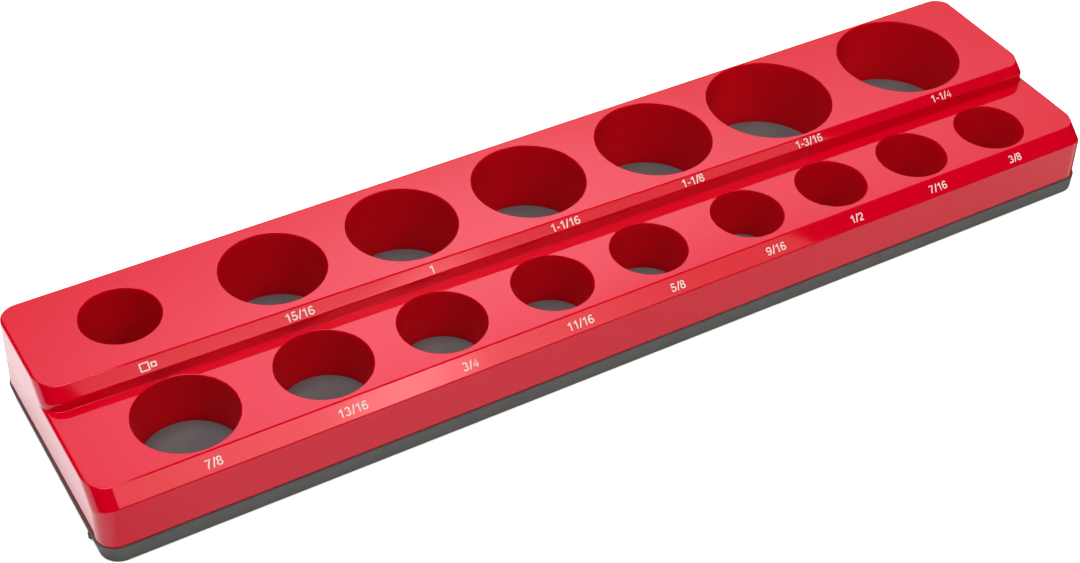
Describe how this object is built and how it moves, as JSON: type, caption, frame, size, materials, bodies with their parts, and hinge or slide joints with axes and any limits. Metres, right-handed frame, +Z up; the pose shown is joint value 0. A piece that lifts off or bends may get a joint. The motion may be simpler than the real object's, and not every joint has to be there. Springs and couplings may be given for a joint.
{
  "type": "magnetic tool holder",
  "caption": "Stepped magnetic rail with round bores that hold drive sockets upright, graded by size along each row.",
  "frame": {"origin": "centre of the footprint, on the surface that the rail stands on", "axes": "+X along the rows, towards the smallest front bore; +Y from the low tier to the high tier; +Z up"},
  "size_m": [0.371, 0.087, 0.0326],
  "materials": {
    "red_plastic": "glossy moulded",
    "grey_plastic": "fine satin",
    "magnet_plating": "nickel plated",
    "screw_steel": "zinc plated",
    "white_ink": "printed",
    "pad_rubber": "matt"
  },
  "bodies": {
    "root": {"top_housing": "red_plastic", "base_tray": "grey_plastic", "grip_pad": "pad_rubber", "magnet_7_8": "magnet_plating", "magnet_13_16": "magnet_plating", "magnet_3_4": "magnet_plating", "magnet_11_16": "magnet_plating", "magnet_5_8": "magnet_plating", "magnet_9_16": "magnet_plating", "magnet_1_2": "magnet_plating", "magnet_7_16": "magnet_plating", "magnet_3_8": "magnet_plating", "magnet_adapter": "magnet_plating", "magnet_15_16": "magnet_plating", "magnet_1": "magnet_plating", "magnet_1_1_16": "magnet_plating", "magnet_1_1_8": "magnet_plating", "magnet_1_3_16": "magnet_plating", "magnet_1_1_4": "magnet_plating", "base_screw_1": "screw_steel", "base_screw_2": "screw_steel", "base_screw_3": "screw_steel", "base_screw_4": "screw_steel", "base_screw_5": "screw_steel", "base_screw_6": "screw_steel", "base_screw_7": "screw_steel", "base_screw_8": "screw_steel"}
  },
  "joints": []
}
